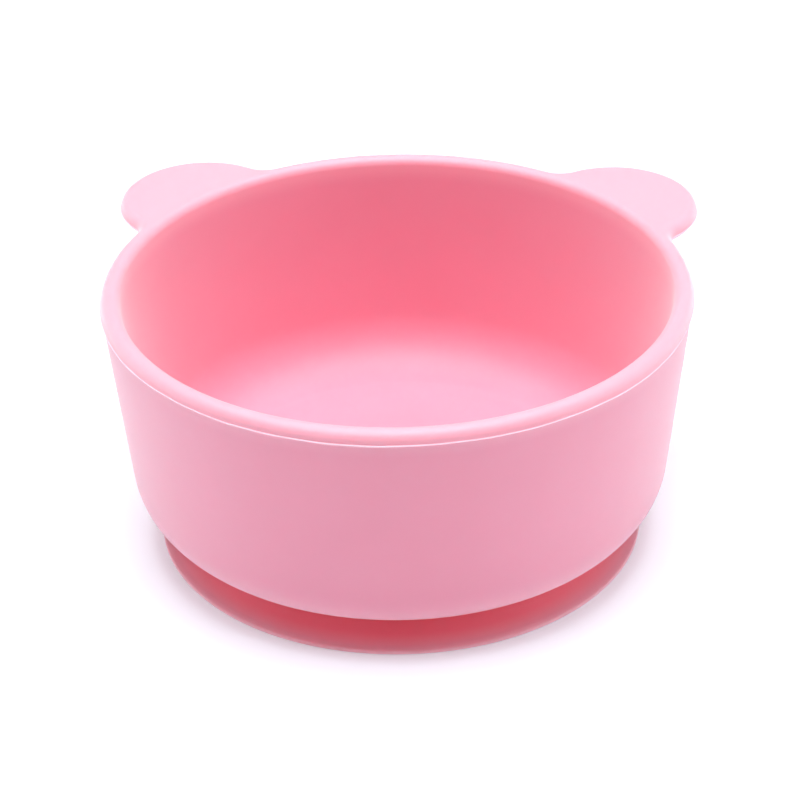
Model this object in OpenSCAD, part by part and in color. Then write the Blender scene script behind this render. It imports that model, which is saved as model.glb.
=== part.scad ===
// Baby's suction bowl with two ears, pushed onto a separate suction foot.
// Millimetres, +Z up. The origin is on the table under the bowl's axis; the ears point to +Y.
// Bowl and foot are two silicone mouldings. The foot's moulding is cut where it bends, because
// its hub rides down with the bowl, its skirt flattens, its lip stays put and its tab lifts.

/* [Bowl] */
// Outer diameter over the rim
rim_d = 120; // [105:1:135]
// Height of the rim's top over the table
bowl_h = 56.6; // [50:0.1:64]
// Thickness of the full-round rim and of the ears
rim_t = 3.9; // [3:0.1:4.5]
// Slope of the outer wall, degrees from upright
wall_draft = 6.2; // [4:0.1:8]
// Radius of the outer corner between wall and underside
corner_r = 11.8; // [9:0.1:13]
// Thickness of the floor
floor_t = 2.5; // [2:0.1:4]
// Radius of the inner corner between wall and floor
inner_corner_r = 12.5; // [9:0.1:14]

/* [Ears] */
// Radius of each round ear
ear_r = 17.6; // [14:0.1:20]
// Distance of each ear's centre from the bowl's axis
ear_reach = 57.8; // [54:0.1:60]
// Angle of each ear from the +Y direction
ear_angle = 50; // [42:1:58]
// Radius of the hollow fillet between an ear and the rim
ear_fillet_r = 5; // [3:0.5:8]

/* [Suction foot] */
// Gap between the table and the bowl's underside
foot_h = 6.5; // [6:0.1:8]
// Outer radius of the sealing lip
lip_r = 50.5; // [46:0.5:52]
// Radius at which the lip meets the skirt
skirt_r = 43; // [41:0.5:44]
// Radius of the stiff hub in the middle
hub_r = 26; // [24:0.5:28]
// Height of the hollow under the hub
dome_h = 3.2; // [3:0.1:3.4]
// Thickness of the web that closes the hub
web_t = 1.2; // [1:0.1:1.4]
// Radius of the plug under the bowl
plug_r = 20; // [16:0.5:21]
// Clearance between mouldings that move against each other
gap = 0.3; // [0.2:0.05:0.4]

/* [Release tab] */
// Width of the tab
tab_w = 14; // [10:1:18]
// Length of the tab from the lip to its tip
tab_len = 7; // [5:0.5:8]
// Thickness of the tab
tab_t = 1.4; // [1.2:0.1:1.6]
// Height of the tab's underside over the table
tab_lift = 0.5; // [0.3:0.1:0.6]
// Number of grip ribs on the tab
tab_ribs = 2; // [1:1:3]

/* [Hidden] */
$fn = 180;

bowl_pink = "#F4B6CB";
foot_pink = "#E07F90";

// Rim: a full-round bead, drawn in steps of arc_step, with one flat step as its crest
rim_r = rim_t / 2;
arc_step = 12;
rim_z = bowl_h - rim_r * sin(90 - arc_step / 2);
rim_c = rim_d / 2 - rim_r;

// Ears: their flat faces meet the rim halfway up the step beside the crest
ear_t = 2 * rim_r * sin(90 - arc_step);
ear_edge_r = ear_t / 2;
ear_edge_steps = 10;

// Bowl wall: both faces slope by wall_draft, and corners are tangent to wall and floor.
bottom_z = foot_h;
floor_z = foot_h + floor_t;
plug_z = dome_h + web_t + gap;
corner_steps = 8;
outer_corner_z = bottom_z + corner_r;
inner_corner_z = floor_z + inner_corner_r;
outer_corner_x = wall_x(rim_r, outer_corner_z) - corner_r / cos(wall_draft);
inner_corner_x = wall_x(-rim_r, inner_corner_z) - inner_corner_r / cos(wall_draft);

// Foot: profile of the skirt and the lip, from the hub outwards. The skirt's middle stands
// skirt_arch over a straight cone. The sealing face starts lip_throat_w outside the skirt.
skirt_in_r = hub_r + gap;
skirt_out_r = skirt_r - gap;
skirt_t = 2.2;
skirt_arch = 0.6;
skirt_top_z = 5.6;
skirt_foot_z = 2.6;
lip_edge_t = 1.2;
lip_edge_steps = 5;
lip_throat_w = 2.2;
lip_throat_z = 0.6;

// Tab: round corners at its tip, half-round ribs across it
tip_r = 3;
rib_r = 0.45;
rib_pitch = 2;
rib_facets = 24;

// Centre of the circle that fillets an ear into the rim. It is fillet_bite nearer to both
// than a tangent circle, so that the surfaces cross instead of just touching.
fillet_bite = 0.15;
fillet_to_axis = rim_d / 2 + ear_fillet_r - fillet_bite;
fillet_to_ear = ear_r + ear_fillet_r - fillet_bite;
fillet_along = (pow(fillet_to_axis, 2) - pow(fillet_to_ear, 2) + pow(ear_reach, 2)) / (2 * ear_reach);
fillet_across = sqrt(pow(fillet_to_axis, 2) - pow(fillet_along, 2));

// x of a wall face at height z; side is +rim_r for the outer face, -rim_r for the inner one
function wall_x(side, z) = rim_c + side / cos(wall_draft) - (rim_z - z) * tan(wall_draft);

// Points of an arc about (cx, cz) from angle a0 to a1 in n steps
function arc(cx, cz, r, a0, a1, n) =
    [for (i = [0:n]) let (a = a0 + (a1 - a0) * i / n) [cx + r * cos(a), cz + r * sin(a)]];

module bowl_shell() {
    rim_steps = 180 / arc_step;
    rotate_extrude()
        polygon(concat(
            [[0, floor_z], [0, bottom_z]],
            arc(outer_corner_x, outer_corner_z, corner_r, -90, -wall_draft, corner_steps),
            arc(rim_c, rim_z, rim_r, 0, 180, rim_steps),
            arc(inner_corner_x, inner_corner_z, inner_corner_r, -wall_draft, -90, corner_steps)));
}

// Disc of radius r with a full-round edge
module round_disc(r) {
    rotate_extrude()
        polygon(concat(
            [[0, -ear_edge_r]],
            arc(r - ear_edge_r, 0, ear_edge_r, -90, 90, ear_edge_steps),
            [[0, ear_edge_r]]));
}

// What is cut from a slab to leave a hollow fillet of radius r with a full-round edge
module fillet_void(r) {
    rotate_extrude()
        polygon(concat(
            [[0, -ear_t], [r + ear_edge_r, -ear_t]],
            arc(r + ear_edge_r, 0, ear_edge_r, 270, 90, ear_edge_steps),
            [[r + ear_edge_r, ear_t], [0, ear_t]]));
}

// Kite between the bowl's axis, the ear and the two fillets, less the fillets' circles
module ear_web() {
    difference() {
        translate([0, 0, -ear_edge_r])
            linear_extrude(ear_t)
                polygon([
                    [0, 0],
                    [fillet_across, fillet_along],
                    [0, ear_reach],
                    [-fillet_across, fillet_along]]);
        for (side = [-1, 1])
            translate([side * fillet_across, fillet_along, 0])
                fillet_void(ear_fillet_r);
    }
}

module ear(angle) {
    translate([0, 0, rim_z])
        rotate([0, 0, angle])
            difference() {
                union() {
                    translate([0, ear_reach, 0])
                        round_disc(ear_r);
                    ear_web();
                }
                cylinder(h = 2 * rim_t, r = rim_c, center = true);
            }
}

module bowl() {
    color(bowl_pink) {
        bowl_shell();
        ear(ear_angle);
        ear(-ear_angle);
        translate([0, 0, plug_z])
            cylinder(h = bottom_z + floor_t / 2 - plug_z, r = plug_r);
    }
}

module foot_hub() {
    color(foot_pink)
        difference() {
            translate([0, 0, dome_h])
                cylinder(h = foot_h - dome_h, r = hub_r);
            translate([0, 0, dome_h + web_t])
                cylinder(h = foot_h, r = plug_r + gap);
        }
}

module cup_skirt() {
    mid_r = (skirt_in_r + skirt_out_r) / 2;
    mid_z = (skirt_top_z + skirt_foot_z) / 2 + skirt_arch;
    color(foot_pink)
        rotate_extrude()
            polygon([
                [skirt_in_r, skirt_top_z],
                [mid_r, mid_z],
                [skirt_out_r, skirt_foot_z],
                [skirt_out_r, lip_throat_z],
                [mid_r, mid_z - skirt_t],
                [skirt_in_r, dome_h]]);
}

module cup_lip() {
    edge_r = lip_edge_t / 2;
    color(foot_pink)
        rotate_extrude()
            polygon(concat(
                [[skirt_r, skirt_foot_z], [skirt_r, lip_throat_z], [skirt_r + lip_throat_w, 0]],
                arc(lip_r - edge_r, edge_r, edge_r, -90, 60, lip_edge_steps)));
}

module release_tab() {
    root_y = lip_r + gap;
    color(foot_pink)
        translate([0, root_y, tab_lift]) {
            linear_extrude(tab_t) {
                translate([-tab_w / 2, 0])
                    square([tab_w, tab_len - tip_r]);
                translate([-tab_w / 2 + tip_r, 0])
                    square([tab_w - 2 * tip_r, tab_len]);
                for (side = [-1, 1])
                    translate([side * (tab_w / 2 - tip_r), tab_len - tip_r])
                        circle(tip_r);
            }
            for (i = [1:tab_ribs])
                translate([0, i * rib_pitch + rib_r, tab_t])
                    rotate([0, 90, 0])
                        cylinder(h = tab_w - 2 * tip_r, r = rib_r, center = true, $fn = rib_facets);
        }
}

bowl();
foot_hub();
cup_skirt();
cup_lip();
release_tab();
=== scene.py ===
"""Looks of the suction bowl: a silicone bowl with ears, its suction foot and the release tab.

The scene is in metres and in the CAD frame: +Z up, the bowl's axis on Z, the ears towards +Y, the
table at Z = 0. Shapes are worked out in millimetres and scaled when their mesh is made.
"""
import math

import bmesh
import bpy
import numpy as np
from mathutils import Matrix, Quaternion, Vector


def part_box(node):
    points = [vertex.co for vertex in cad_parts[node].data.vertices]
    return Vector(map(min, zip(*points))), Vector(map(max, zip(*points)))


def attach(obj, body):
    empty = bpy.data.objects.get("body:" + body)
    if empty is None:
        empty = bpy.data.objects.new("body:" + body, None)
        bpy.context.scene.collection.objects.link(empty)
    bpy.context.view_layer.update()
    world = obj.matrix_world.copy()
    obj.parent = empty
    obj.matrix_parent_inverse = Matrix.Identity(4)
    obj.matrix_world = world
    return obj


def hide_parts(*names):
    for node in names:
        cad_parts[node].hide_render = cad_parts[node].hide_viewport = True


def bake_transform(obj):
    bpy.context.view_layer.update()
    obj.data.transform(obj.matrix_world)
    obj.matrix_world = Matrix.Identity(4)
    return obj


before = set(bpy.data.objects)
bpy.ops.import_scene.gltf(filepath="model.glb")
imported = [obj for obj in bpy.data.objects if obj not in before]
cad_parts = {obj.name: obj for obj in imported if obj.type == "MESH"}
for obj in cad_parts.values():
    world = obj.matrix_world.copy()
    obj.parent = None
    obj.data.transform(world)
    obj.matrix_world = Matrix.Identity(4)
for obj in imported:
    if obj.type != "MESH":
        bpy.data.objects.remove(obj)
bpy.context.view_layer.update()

MM = 0.001

# ---------------------------------------------------------------- sizes, in millimetres

BOWL_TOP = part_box("bowl")[1].z / MM
RIM_RADIUS = 59.72          # to the wall's face; the parting bead stands on it
RIM_ROUND = 1.95            # radius of the full-round rim and of the ears' edges
RIM_MID_Z = BOWL_TOP - RIM_ROUND
RIM_CREST = 0.3             # width of the rim's flat crest
WALL_DRAFT = math.radians(6.2)
OUTER_CORNER = 11.8
INNER_CORNER = 12.5
UNDERSIDE_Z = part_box("foot_hub")[1].z / MM
FLOOR_THICK = 2.5
PLUG_RADIUS = 20.0
PLUG_ROOT = 0.8             # radius of the fillet between the plug and the underside
PLUG_EDGE = 0.4             # radius of the plug's lower edge
PLUG_BOTTOM_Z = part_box("bowl")[0].z / MM

EAR_RADIUS = 17.34
EAR_REACH = 57.8
EAR_ANGLE = math.radians(50)
EAR_FILLET = 5.0
EAR_ROOT_FILLET = 1.6       # under the ear, where it meets the wall
EAR_UNDER_DROP = 0.3        # how far the ear's underside slopes down to the wall
EAR_CROSSING = 0.6          # width over which the ear's lower edge runs into the wall
EAR_SETTLE = 12.0           # height under the ear over which the mesh's columns even out

BEAD_DROP = 0.45            # the parting line lies this far under the rim's middle
BEAD_PROUD = 0.27
BEAD_HALF_WIDTH = 0.24
# The bead's section from above to below, as (share of the half width, share of the height):
# a ledge on top and a slope underneath.
BEAD_SECTION = ((-1, 0), (-0.6, 0.04), (-0.45, 0.7), (-0.3, 1), (0.1, 0.9), (0.55, 0.35), (1, 0))
FLASH_GAIN = 1.3            # above 1 the painted highlight on the flash is fully pale on more than its very crest

HUB_RADIUS = 26.0
WEB_BOTTOM_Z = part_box("foot_hub")[0].z / MM
WEB_THICK = 1.2
POCKET_RADIUS = 20.3
POCKET_CHAMFER = 0.3
POCKET_CORNER = 0.5
HOLLOW_START = 24.0         # radius at which the cup's hollow starts to come down
HOLLOW_END_Z = 0.15
HUB_ROOT = (27.0, 5.9)      # centre of the fillet between the skirt and the hub, as (r, z)
HUB_ROOT_ROUND = 0.4
HUB_EDGE_ROUND = 0.3
LIP_RADIUS = 50.5
LIP_ROUND = 0.5
SEAL_RADIUS = 45.2
SEAL_STEP = 0.8             # from the hollow's end out to the seal
# The foot's top from the lip inwards, as (r, z): the lip's slope, then the skirt's shallow S.
FOOT_TOP = (
    (49.2, 1.12), (47.8, 1.36), (46.0, 1.8), (44.0, 2.42), (42.0, 3.02), (40.0, 3.55),
    (37.0, 4.25), (34.0, 4.8), (31.0, 5.2), (28.8, 5.45))

TAB_THICK = 1.4
TAB_CORNER = 3.0
TAB_ROOT_THICK = 0.5        # of the root that is sunk into the lip
TAB_ROOT_DEPTH = 2.6        # how far inside the lip's edge the root starts
TAB_CLEAR = 0.6             # how far outside the lip's edge the tab has its full thickness
TAB_FLARE = 1.6             # how much wider the tab is at its root, on each side
TAB_FLARE_LENGTH = 4.5
TAB_SQUARENESS = 0.45       # of the cross-section: 1 is an ellipse, 0 a rectangle
TIP_GAP = 0.02              # the last row stops this short of the tip, where it would be a point
TIP_LEAST = 0.02            # keeps some thickness in the last rows, as a share of its square
RIB_OFFSETS = (2.45, 4.45)  # of the grip ribs from the tab's root
RIB_HEIGHT = 0.4
RIB_WIDTH = 0.42
RIB_INSET = 2.0             # from the tab's sides to the ribs' ends
RIB_FADE = 1.2


# ---------------------------------------------------------------- small tools

def smoothstep(t):
    t = np.clip(t, 0, 1)
    return t * t * (3 - 2 * t)


def smooth_max(a, b, width):
    """The larger of a and b, rounded over width where they cross."""
    h = np.clip(0.5 + 0.5 * (a - b) / width, 0, 1)
    return b + (a - b) * h + width * h * (1 - h) / 2


def arc_points(cx, cz, radius, start, end, count):
    """Points (r, z) on an arc; angles in degrees, both ends included."""
    angles = np.radians(np.linspace(start, end, count))
    return [(cx + radius * math.cos(a), cz + radius * math.sin(a)) for a in angles]


def mesh_object(name, rows):
    """A closed mesh from rows of points in millimetres, each a closed loop of the same length.

    The first and the last row are closed by a fan to their centre."""
    rows = [np.asarray(row, float) for row in rows]
    count = len(rows[0])
    verts = [tuple(p * MM) for row in rows for p in row]
    faces = []
    for i in range(len(rows) - 1):
        for j in range(count):
            k = (j + 1) % count
            faces.append((i * count + j, i * count + k, (i + 1) * count + k, (i + 1) * count + j))
    for index, flip in ((0, True), (len(rows) - 1, False)):
        verts.append(tuple(rows[index].mean(axis=0) * MM))
        centre = len(verts) - 1
        for j in range(count):
            a = index * count + j
            b = index * count + (j + 1) % count
            faces.append((b, a, centre) if flip else (a, b, centre))
    mesh = bpy.data.meshes.new(name)
    mesh.from_pydata(verts, [], faces)
    mesh.validate()
    bm = bmesh.new()
    bm.from_mesh(mesh)
    bmesh.ops.recalc_face_normals(bm, faces=bm.faces)
    bm.to_mesh(mesh)
    bm.free()
    for polygon in mesh.polygons:
        polygon.use_smooth = True
    made = bpy.data.objects.new(name, mesh)
    bpy.context.scene.collection.objects.link(made)
    return made


# ---------------------------------------------------------------- bowl

def ear_outline_arcs():
    """The rim's outline seen from above as arcs: (centre, radius, start, end, solid inside).

    Angles are in radians, counter-clockwise round the bowl, starting in front."""
    to_axis = RIM_RADIUS + EAR_FILLET
    to_ear = EAR_RADIUS + EAR_FILLET
    along = (to_axis ** 2 - to_ear ** 2 + EAR_REACH ** 2) / (2 * EAR_REACH)
    across = math.sqrt(to_axis ** 2 - along ** 2)
    half = math.atan2(across, along)                     # from the ear's middle to its fillets
    lean = math.atan2(across, along - EAR_REACH)         # the same, seen from the ear's centre
    arcs = []
    at = -math.pi / 2
    for middle in (math.pi / 2 - EAR_ANGLE, math.pi / 2 + EAR_ANGLE):
        centre = EAR_REACH * np.array([math.cos(middle), math.sin(middle)])
        first = to_axis * np.array([math.cos(middle - half), math.sin(middle - half)])
        last = to_axis * np.array([math.cos(middle + half), math.sin(middle + half)])
        arcs.append((np.zeros(2), RIM_RADIUS, at, middle - half, True))
        arcs.append((first, EAR_FILLET, middle - half + math.pi, middle - lean + math.pi, False))
        arcs.append((centre, EAR_RADIUS, middle - lean, middle + lean, True))
        arcs.append((last, EAR_FILLET, middle + lean + math.pi, middle + half + math.pi, False))
        at = middle + half
    arcs.append((np.zeros(2), RIM_RADIUS, at, 3 * math.pi / 2, True))
    return arcs


def ear_outline(rim_step=1.0, ear_step=0.7):
    """Points and outward normals along the rim's outline, ears and fillets included."""
    points, normals = [], []
    for centre, radius, start, end, solid in ear_outline_arcs():
        if not solid and end > start:
            end -= 2 * math.pi
        step = rim_step if radius == RIM_RADIUS else ear_step
        count = max(4, round(abs(end - start) * radius / step))
        for i in range(count):
            a = start + (end - start) * i / count
            out = np.array([math.cos(a), math.sin(a)])
            points.append(centre + radius * out)
            normals.append(out if solid else -out)
    return np.array(points), np.array(normals)


def wall_radius(z, outer=True):
    """Radius of the wall's outer or inner face at height z."""
    middle = RIM_RADIUS - RIM_ROUND - (RIM_MID_Z - z) * math.tan(WALL_DRAFT)
    half = RIM_ROUND / math.cos(WALL_DRAFT)
    return middle + half if outer else middle - half


def bead_height(angle):
    """How proud the parting bead stands, round the bowl: a moulding's flash is never quite even."""
    wave = np.sin(7 * angle + 0.6) + 0.7 * np.sin(17 * angle + 2.1) + 0.5 * np.sin(41 * angle)
    return BEAD_PROUD * (0.8 + 0.2 * wave / 2.2)


def bead_wander(angle):
    """How far the parting bead wanders up and down, round the bowl."""
    return 0.05 * np.sin(5 * angle + 1.0) + 0.035 * np.sin(13 * angle + 0.4) + 0.02 * np.sin(37 * angle)


OUTLINE, NORMAL = ear_outline()
ANGLE = np.arctan2(OUTLINE[:, 1], OUTLINE[:, 0])
RADIAL = np.stack([np.cos(ANGLE), np.sin(ANGLE)], -1)
DRAFT_DEGREES = math.degrees(WALL_DRAFT)


def ring(radius, z):
    """A row round the axis, with one point for each point of the outline."""
    return np.column_stack([RADIAL * np.reshape(radius, (-1, 1)), np.broadcast_to(z, ANGLE.shape)])


def edge(turn, lift=0.0):
    """A row on the full-round edge of rim and ears, at an angle from level in degrees."""
    a = math.radians(turn)
    plan = OUTLINE - NORMAL * (RIM_ROUND * (1 - math.cos(a)))
    z = np.broadcast_to(RIM_MID_Z + RIM_ROUND * math.sin(a) + lift, ANGLE.shape)
    return np.column_stack([plan, z])


def at_least_wall(row):
    """Pushes a row of the ears' lower edge out to the wall where the wall is wider."""
    reach = np.hypot(row[:, 0], row[:, 1])
    wider = smooth_max(reach, wall_radius(row[:, 2]), EAR_CROSSING)
    return np.column_stack([row[:, :2] * (wider / reach)[:, None], row[:, 2]])


def inside_rows():
    """From the middle of the floor round the inner corner and up the wall to the rim."""
    floor_z = UNDERSIDE_Z + FLOOR_THICK
    corner_z = floor_z + INNER_CORNER
    corner_r = wall_radius(corner_z, False) - INNER_CORNER / math.cos(WALL_DRAFT)
    corner = arc_points(corner_r, corner_z, INNER_CORNER, -90, -DRAFT_DEGREES, 20)
    rows = [ring(radius, floor_z) for radius in (3.0, 12.0, 24.0, 34.0)]
    rows += [ring(r, z) for r, z in corner]
    for z in np.linspace(corner[-1][1], RIM_MID_Z, 22)[1:-1]:
        rows.append(ring(wall_radius(z, False), z))
    return rows


def rim_rows():
    """From the inner wall over the crest, flat across the ears, to the middle of the outer edge."""
    crest = RIM_RADIUS - RIM_ROUND
    inner_round = RIM_ROUND - RIM_CREST
    rows = []
    for a in np.radians(np.linspace(180, 90, 11)):
        radius = crest - RIM_CREST + inner_round * math.cos(a)
        rows.append(ring(radius, RIM_MID_Z + RIM_ROUND * math.sin(a)))
    inside, outside = rows[-1], edge(90)
    rows += [inside + (outside - inside) * t for t in (0.2, 0.4, 0.6, 0.8)]
    rows += [edge(turn) for turn in np.linspace(90, 0, 12)]
    return rows


def lower_edge_rows():
    """The parting bead, then the lower half of the edge of rim and ears."""
    wander = bead_wander(ANGLE)
    bead_turn = -math.degrees(math.asin(BEAD_DROP / RIM_ROUND))
    half_turn = math.degrees(BEAD_HALF_WIDTH / RIM_ROUND)
    rows = []
    for share, rise in BEAD_SECTION:
        proud = bead_height(ANGLE) * rise
        row = at_least_wall(edge(bead_turn - share * half_turn, wander))
        row[:, :2] += NORMAL * proud[:, None]
        rows.append(row)
    rows += [at_least_wall(edge(turn)) for turn in (-22, -30, -40, -52, -65, -78, -90)]
    return rows


def ear_underside_rows(under):
    """From the lowest row of the edge along the ears' underside and its root fillet to the wall."""
    under_z = under[0, 2]
    reach = np.hypot(under[:, 0], under[:, 1])
    heading = under[:, :2] / reach[:, None]
    excess = reach - wall_radius(under_z)
    kept = np.minimum(excess, EAR_ROOT_FILLET)

    def below_ear(spare, z):
        radius = wall_radius(z) + spare
        return np.column_stack([heading * np.reshape(radius, (-1, 1)), np.full(ANGLE.shape, z)])

    rows = []
    for t in (0.25, 0.5, 0.75, 1.0):
        rows.append(below_ear(excess + (kept - excess) * t, under_z - EAR_UNDER_DROP * t))
    for a in np.radians(np.linspace(0, 90, 7)[1:]):
        z = under_z - EAR_UNDER_DROP - EAR_ROOT_FILLET * (1 - math.cos(a))
        rows.append(below_ear(kept * (1 - math.sin(a)), z))
    return rows


def outer_wall_rows(last):
    """Down the wall from the row under the ears, and round the outer corner to the underside.

    The columns of that row crowd where the ears were; on the way down they even out."""
    last_z = last[0, 2]
    outer_z = UNDERSIDE_Z + OUTER_CORNER
    outer_r = wall_radius(outer_z) - OUTER_CORNER / math.cos(WALL_DRAFT)
    corner = arc_points(outer_r, outer_z, OUTER_CORNER, -DRAFT_DEGREES, -90, 18)
    turned = np.unwrap(np.arctan2(last[:, 1], last[:, 0]))
    even = np.unwrap(ANGLE)
    even += np.round((turned - even) / (2 * math.pi)) * 2 * math.pi
    rows = []
    for z in np.linspace(last_z, corner[0][1], 26)[1:-1]:
        way = turned + (even - turned) * smoothstep((last_z - z) / EAR_SETTLE)
        radius = wall_radius(z)
        rows.append(np.column_stack([radius * np.cos(way), radius * np.sin(way), np.full(way.shape, z)]))
    rows += [ring(r, z) for r, z in corner]
    return rows


def underside_rows():
    """Along the underside to the plug, and down its side to the middle of its lower face."""
    plug_root = arc_points(PLUG_RADIUS + PLUG_ROOT, UNDERSIDE_Z - PLUG_ROOT, PLUG_ROOT, 90, 180, 5)
    plug_edge = arc_points(PLUG_RADIUS - PLUG_EDGE, PLUG_BOTTOM_Z + PLUG_EDGE, PLUG_EDGE, 0, -90, 5)
    rows = [ring(radius, UNDERSIDE_Z) for radius in (40.0, 34.0, 27.0, PLUG_RADIUS + PLUG_ROOT)]
    rows += [ring(r, z) for r, z in plug_root[1:] + plug_edge]
    rows += [ring(radius, PLUG_BOTTOM_Z) for radius in (12.0, 3.0)]
    return rows


def bowl_rows():
    """The bowl as closed rows of points, from the middle of the floor over the rim to the plug."""
    rows = inside_rows() + rim_rows() + lower_edge_rows()
    rows += ear_underside_rows(rows[-1])
    rows += outer_wall_rows(rows[-1])
    return rows + underside_rows()


def mark_flash_highlight(piece):
    """Stores where the painted highlight along the flash goes: 1 on the parting bead, 0 away from it."""
    points = np.array([vertex.co for vertex in piece.data.vertices]) / MM
    angle = np.arctan2(points[:, 1], points[:, 0])
    drop = np.abs(points[:, 2] - (RIM_MID_Z - BEAD_DROP + bead_wander(angle)))
    outside = np.hypot(points[:, 0], points[:, 1]) > RIM_RADIUS - RIM_ROUND / 2
    flash = smoothstep(FLASH_GAIN * (1 - drop / BEAD_HALF_WIDTH)) * outside
    layer = piece.data.attributes.new("flash", "FLOAT", "POINT")
    layer.data.foreach_set("value", flash.astype(np.float32))


def make_bowl():
    bowl = mesh_object("bowl_moulding", bowl_rows())
    mark_flash_highlight(bowl)
    return bowl


# ---------------------------------------------------------------- foot

def foot_profile():
    """The foot's section as (r, z) points, from the web's underside round the lip to the pocket."""
    web_top_z = WEB_BOTTOM_Z + WEB_THICK
    hollow_end = SEAL_RADIUS - SEAL_STEP
    points = [(3.0, WEB_BOTTOM_Z), (14.0, WEB_BOTTOM_Z), (22.0, WEB_BOTTOM_Z)]
    for t in np.linspace(0, 1, 16)[1:]:
        r = HOLLOW_START + (hollow_end - HOLLOW_START) * t
        fall = math.cos(t * math.pi / 2) ** 0.8
        points.append((r, HOLLOW_END_Z + (WEB_BOTTOM_Z - HOLLOW_END_Z) * fall))
    points.append((SEAL_RADIUS - 0.2, 0.02))
    points += [(SEAL_RADIUS + 0.6, 0.0), (48.0, 0.0)]
    points += arc_points(LIP_RADIUS - LIP_ROUND, LIP_ROUND, LIP_ROUND, -90, 70, 8)
    points += FOOT_TOP
    points += arc_points(*HUB_ROOT, HUB_ROOT_ROUND, 270, 180, 4)
    edge_r, edge_z = HUB_RADIUS - HUB_EDGE_ROUND, UNDERSIDE_Z - HUB_EDGE_ROUND
    points += arc_points(edge_r, edge_z, HUB_EDGE_ROUND, 0, 90, 4)
    points += [(24.0, UNDERSIDE_Z), (POCKET_RADIUS + POCKET_CHAMFER, UNDERSIDE_Z)]
    corner_r, corner_z = POCKET_RADIUS - POCKET_CORNER, web_top_z + POCKET_CORNER
    points += [(POCKET_RADIUS, UNDERSIDE_Z - POCKET_CHAMFER), (POCKET_RADIUS, corner_z)]
    points += arc_points(corner_r, corner_z, POCKET_CORNER, 0, -90, 4)[1:]
    points += [(12.0, web_top_z), (3.0, web_top_z)]
    return points


def make_foot():
    around = np.linspace(0, 2 * math.pi, 288, endpoint=False)
    rows = []
    for r, z in foot_profile():
        rows.append(np.column_stack([r * np.cos(around), r * np.sin(around), np.full(around.shape, z)]))
    return mesh_object("foot_moulding", rows)


# ---------------------------------------------------------------- release tab

def make_tab():
    """The tab as rows across it, from the root that is sunk into the lip to the rounded tip."""
    lo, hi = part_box("release_tab")
    half_width = (hi.x - lo.x) / 2 / MM
    root_y, tip_y = lo.y / MM, hi.y / MM
    under_z = lo.z / MM
    buried_y = LIP_RADIUS - TAB_ROOT_DEPTH
    clear_y = LIP_RADIUS + TAB_CLEAR
    corner_y = tip_y - TAB_CORNER
    ways = np.linspace(0, 2 * math.pi, 96, endpoint=False)
    across = np.sign(np.cos(ways)) * np.abs(np.cos(ways)) ** TAB_SQUARENESS
    upward = np.sign(np.sin(ways)) * np.abs(np.sin(ways)) ** TAB_SQUARENESS
    on_top = np.sin(ways) > 0.3

    ys = list(np.linspace(buried_y, corner_y, 34))
    for a in np.linspace(0, math.pi / 2, 16)[1:]:
        ys.append(corner_y + (TAB_CORNER - TIP_GAP) * math.sin(a))
    rows = []
    for y in ys:
        flare = TAB_FLARE * (1 - smoothstep((y - buried_y) / TAB_FLARE_LENGTH))
        over = max(0.0, y - corner_y)
        narrowing = TAB_CORNER - math.sqrt(max(0.0, TAB_CORNER ** 2 - over ** 2))
        x = (half_width + flare - narrowing) * across
        rise = smoothstep((y - buried_y) / (clear_y - buried_y))
        thick = TAB_ROOT_THICK + (TAB_THICK - TAB_ROOT_THICK) * rise
        end = max(0.0, y - (tip_y - TAB_THICK / 2)) / (TAB_THICK / 2)
        deep = thick / 2 * math.sqrt(max(TIP_LEAST, 1 - end ** 2))
        z = under_z + thick / 2 + deep * upward
        for offset in RIB_OFFSETS:
            lift = RIB_HEIGHT * math.exp(-((y - (root_y + offset)) / RIB_WIDTH) ** 2)
            window = smoothstep((half_width - RIB_INSET - np.abs(x)) / RIB_FADE)
            z = z + lift * window * on_top
        rows.append(np.column_stack([x, np.full(x.shape, y), z]))
    return mesh_object("tab_moulding", rows)


# ---------------------------------------------------------------- materials

MOTTLE_SIZE = 18.0          # millimetres, like the three below
GLOSS_SIZE = 2.2
GRAIN_SIZE = 0.22
GRAIN_DEPTH = 0.01
# the colour of the painted highlight along the parting bead's flash
FLASH_HIGHLIGHT_COLOUR = (0.90, 0.56, 0.67)


# The next four add nodes to a tree and return the output to link from.

def ramp(tree, source, start, end, low=0.0, high=1.0, smooth=True):
    """A value that goes from low to high while source goes from start to end."""
    node = tree.nodes.new("ShaderNodeMapRange")
    if smooth:
        node.interpolation_type = "SMOOTHSTEP"
    node.inputs["From Min"].default_value = start
    node.inputs["From Max"].default_value = end
    node.inputs["To Min"].default_value = low
    node.inputs["To Max"].default_value = high
    tree.links.new(source, node.inputs["Value"])
    return node.outputs["Result"]


def mix(tree, factor, first, second):
    """Blends two colours, each either three numbers or another node's output."""
    node = tree.nodes.new("ShaderNodeMix")
    node.data_type = "RGBA"
    for socket, value in (("A", first), ("B", second)):
        if isinstance(value, tuple):
            node.inputs[socket].default_value = (*value, 1)
        else:
            tree.links.new(value, node.inputs[socket])
    tree.links.new(factor, node.inputs["Factor"])
    return node.outputs["Result"]


def by_height(tree, position):
    split = tree.nodes.new("ShaderNodeSeparateXYZ")
    tree.links.new(position, split.inputs["Vector"])
    return split.outputs["Z"]


def by_radius(tree, position):
    """Distance from the vertical axis."""
    split = tree.nodes.new("ShaderNodeSeparateXYZ")
    level = tree.nodes.new("ShaderNodeCombineXYZ")
    length = tree.nodes.new("ShaderNodeVectorMath")
    length.operation = "LENGTH"
    tree.links.new(position, split.inputs["Vector"])
    tree.links.new(split.outputs["X"], level.inputs["X"])
    tree.links.new(split.outputs["Y"], level.inputs["Y"])
    tree.links.new(level.outputs["Vector"], length.inputs["Vector"])
    return length.outputs["Value"]


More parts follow.
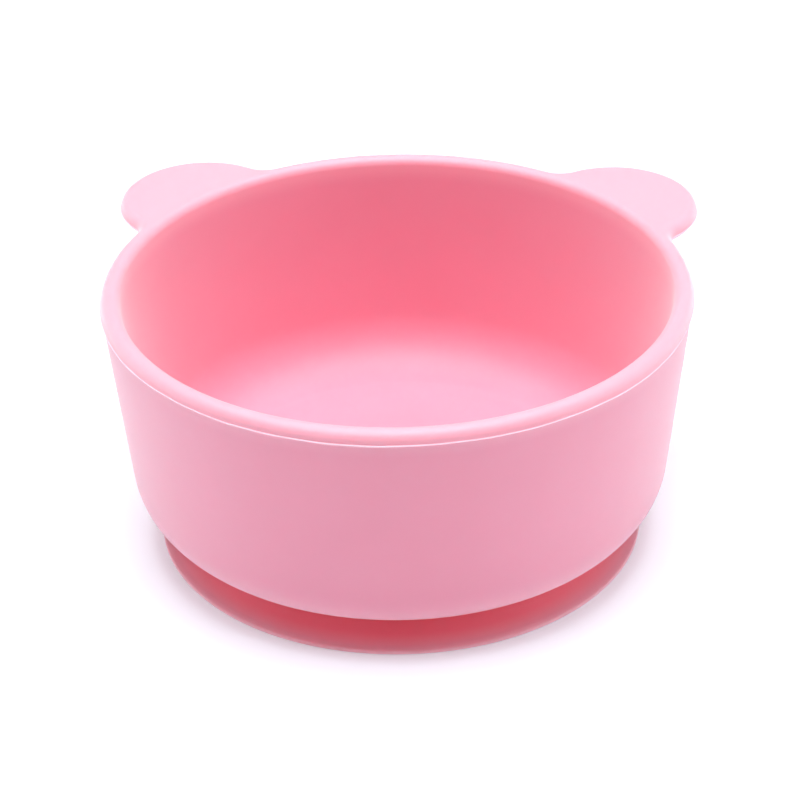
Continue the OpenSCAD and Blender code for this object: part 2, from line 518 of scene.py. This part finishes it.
def silicone(name, colour, deep, pale, painted_light_zone, scatter_mm, sheen=0.5, painted_glow=0.0):
    """Satin silicone: a soft even grain from the mould, faint mottling and light under the skin.

    The colour wanders between colour and deep. Towards the zone's end it turns to pale: painted light,
    standing in for the light that falls on the piece's thin top or outer edge and shines through it;
    the zone says whether by_height or by_radius, and from where to where in millimetres. A painted
    highlight, paler still, runs along a piece's flash. The last argument is the strength of a faint
    red glow painted into the piece, standing in for the light that shines out through a thin moulding."""
    material = bpy.data.materials.new(name)
    material.use_nodes = True
    tree = material.node_tree
    nodes, links = tree.nodes, tree.links
    shader = nodes["Principled BSDF"]
    place = nodes.new("ShaderNodeTexCoord")

    def noise(scale, detail, roughness=0.5):
        node = nodes.new("ShaderNodeTexNoise")
        node.inputs["Scale"].default_value = scale
        node.inputs["Detail"].default_value = detail
        node.inputs["Roughness"].default_value = roughness
        links.new(place.outputs["Object"], node.inputs["Vector"])
        return node.outputs["Fac"]

    mottle = ramp(tree, noise(1 / (MOTTLE_SIZE * MM), 3), 0.3, 0.7, smooth=False)
    tint = mix(tree, mottle, colour, deep)
    # Painted light: the colour turns paler over the zone near the top or the outer edge, where light
    # falls on the thin silicone and shines through it.
    measure, start, end = painted_light_zone
    painted_light_share = ramp(tree, measure(tree, place.outputs["Object"]), start * MM, end * MM)
    body = mix(tree, painted_light_share, tint, pale)
    # A painted highlight along the parting bead's flash, paler than the rest of the piece.
    flash = nodes.new("ShaderNodeAttribute")
    flash.attribute_name = "flash"
    skin = mix(tree, flash.outputs["Fac"], body, FLASH_HIGHLIGHT_COLOUR)
    links.new(skin, shader.inputs["Base Color"])

    gloss = ramp(tree, noise(1 / (GLOSS_SIZE * MM), 4, 0.6), 0, 1, 0.52, 0.62, smooth=False)
    links.new(gloss, shader.inputs["Roughness"])

    grain = nodes.new("ShaderNodeBump")
    grain.inputs["Strength"].default_value = 0.12
    grain.inputs["Distance"].default_value = GRAIN_DEPTH * MM
    links.new(noise(1 / (GRAIN_SIZE * MM), 2), grain.inputs["Height"])
    links.new(grain.outputs["Normal"], shader.inputs["Normal"])

    shader.inputs["IOR"].default_value = 1.41
    shader.inputs["Specular IOR Level"].default_value = 0.8
    shader.inputs["Sheen Weight"].default_value = sheen
    shader.inputs["Sheen Roughness"].default_value = 0.55
    shader.inputs["Sheen Tint"].default_value = (1, 1, 1, 1)
    shader.inputs["Subsurface Weight"].default_value = 0.35
    shader.inputs["Subsurface Radius"].default_value = (1.0, 0.35, 0.42)
    shader.inputs["Subsurface Scale"].default_value = scatter_mm * MM
    # A painted glow: the piece emits a faint red light, standing in for the light that shines through
    # the thin silicone; it is no lamp.
    shader.inputs["Emission Color"].default_value = (1, 0.04, 0.07, 1)
    shader.inputs["Emission Strength"].default_value = painted_glow
    return material


def paint(piece, material):
    piece.data.materials.clear()
    piece.data.materials.append(material)


# ---------------------------------------------------------------- stage, light and camera

FLOOR_HALF = 3.0            # metres, like the other distances of the stage
FLOOR_COLOUR = (0.70, 0.75, 0.82)
FLOOR_GLOW = (0.5, 1.3, 0.25, 0.97)     # from and to which distance, and how strong there
HORIZON_BAND = (0.05, 0.13, 0.85, 0)    # the same by the height of the line of sight
LIGHT_AIM = (0, 0, 0.03)
SIDE_SOFTBOX = (0.9, 0.7)
TOP_SOFTBOX = (0.8, 0.8)
COOL_WHITE = (0.90, 0.95, 1)


def make_floor():
    """A pale floor that glows more the farther it is, so that it ends in the pale horizon."""
    corners = [(x * FLOOR_HALF, y * FLOOR_HALF, 0) for x, y in ((-1, -1), (1, -1), (1, 1), (-1, 1))]
    mesh = bpy.data.meshes.new("floor")
    mesh.from_pydata(corners, [], [(0, 1, 2, 3)])
    floor = bpy.data.objects.new("floor", mesh)
    bpy.context.scene.collection.objects.link(floor)
    material = bpy.data.materials.new("pale_floor")
    material.use_nodes = True
    tree = material.node_tree
    shader = tree.nodes["Principled BSDF"]
    shader.inputs["Base Color"].default_value = (*FLOOR_COLOUR, 1)
    shader.inputs["Roughness"].default_value = 0.9
    shader.inputs["Emission Color"].default_value = (1, 1, 1, 1)
    place = tree.nodes.new("ShaderNodeTexCoord")
    glow = ramp(tree, by_radius(tree, place.outputs["Object"]), *FLOOR_GLOW)
    tree.links.new(glow, shader.inputs["Emission Strength"])
    mesh.materials.append(material)


def make_world():
    """A pale band along the horizon, and darkness above it: the softboxes give the light."""
    world = bpy.data.worlds.new("studio")
    world.use_nodes = True
    tree = world.node_tree
    back = tree.nodes["Background"]
    back.inputs["Color"].default_value = (1, 1, 1, 1)
    place = tree.nodes.new("ShaderNodeTexCoord")
    band = ramp(tree, by_height(tree, place.outputs["Generated"]), *HORIZON_BAND)
    tree.links.new(band, back.inputs["Strength"])
    bpy.context.scene.world = world


def area_light(name, place, size, watts, colour=(1, 1, 1)):
    light = bpy.data.lights.new(name, "AREA")
    light.shape = "RECTANGLE"
    light.size, light.size_y = size
    light.energy = watts
    light.color = colour
    lamp = bpy.data.objects.new(name, light)
    bpy.context.scene.collection.objects.link(lamp)
    lamp.location = place
    lamp.rotation_mode = "QUATERNION"
    lamp.rotation_quaternion = (Vector(LIGHT_AIM) - Vector(place)).to_track_quat("-Z", "Y")


def make_lights():
    area_light("top_softbox", (0, 0, 0.9), TOP_SOFTBOX, 17.3)
    area_light("left_softbox", (-0.9, 0, 0.4), SIDE_SOFTBOX, 2.5, COOL_WHITE)
    area_light("right_softbox", (0.9, 0, 0.4), SIDE_SOFTBOX, 3.1, COOL_WHITE)


def make_camera():
    """Seen from 31 degrees above, a little from the right, with a slight roll."""
    distance = 0.559
    elevation = math.radians(31.1)
    azimuth = math.radians(4.1)
    roll = math.radians(-1.13)
    middle_z = BOWL_TOP * MM / 2
    aim = Vector((0.2 * MM, 0, middle_z))
    pivot = Vector((0, 0, middle_z - 2.3 * MM))          # the camera stands on a sphere round it
    back = Vector((
        math.sin(azimuth) * math.cos(elevation),
        -math.cos(azimuth) * math.cos(elevation),
        math.sin(elevation)))
    data = bpy.data.cameras.new("camera")
    data.sensor_width = 36
    data.lens = 121.1
    data.clip_start = 0.05
    camera = bpy.data.objects.new("camera", data)
    bpy.context.scene.collection.objects.link(camera)
    camera.location = pivot + back * distance
    camera.rotation_mode = "QUATERNION"
    look = (aim - camera.location).to_track_quat("-Z", "Y")
    camera.rotation_quaternion = look @ Quaternion((0, 0, 1), roll)
    bpy.context.scene.camera = camera


# ---------------------------------------------------------------- the object

bpy.context.scene.view_settings.view_transform = "Standard"

# The bowl is painted paler towards its rim and ears: painted light, from the top light and the light
# through the thin rim.
bowl_pink = silicone(
    "bowl_silicone", (0.765, 0.245, 0.345), (0.755, 0.234, 0.33),
    pale=(0.80, 0.32, 0.405), painted_light_zone=(by_height, 51, 55.5), scatter_mm=3.0)
# The foot's colours are redder and brighter than the bowl's. They are matched to the red that the foot
# shows in the shade under the bowl, so they hold painted bounce light and painted shade. The foot is
# also painted paler towards its lip and given a faint painted glow: painted light.
foot_pink = silicone(
    "foot_silicone", (0.99, 0.285, 0.355), (0.985, 0.27, 0.335),
    pale=(0.80, 0.50, 0.57), painted_light_zone=(by_radius, 45.5, 50),
    scatter_mm=0.8, sheen=0.9, painted_glow=0.15)

bowl = make_bowl()
paint(bowl, bowl_pink)
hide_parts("bowl")
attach(bowl, "bowl_body")

foot = make_foot()
paint(foot, foot_pink)
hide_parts("foot_hub", "cup_skirt", "cup_lip")
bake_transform(foot)

# The tab is painted paler towards its tip and given a faint painted glow: painted light.
tab_pink = silicone(
    "tab_silicone", (0.93, 0.33, 0.42), (0.92, 0.31, 0.40),
    pale=(0.90, 0.40, 0.48), painted_light_zone=(by_radius, 52, 56), scatter_mm=0.8, painted_glow=0.05)
tab = make_tab()
paint(tab, tab_pink)
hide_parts("release_tab")
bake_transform(tab)

make_floor()
make_world()
make_lights()
make_camera()
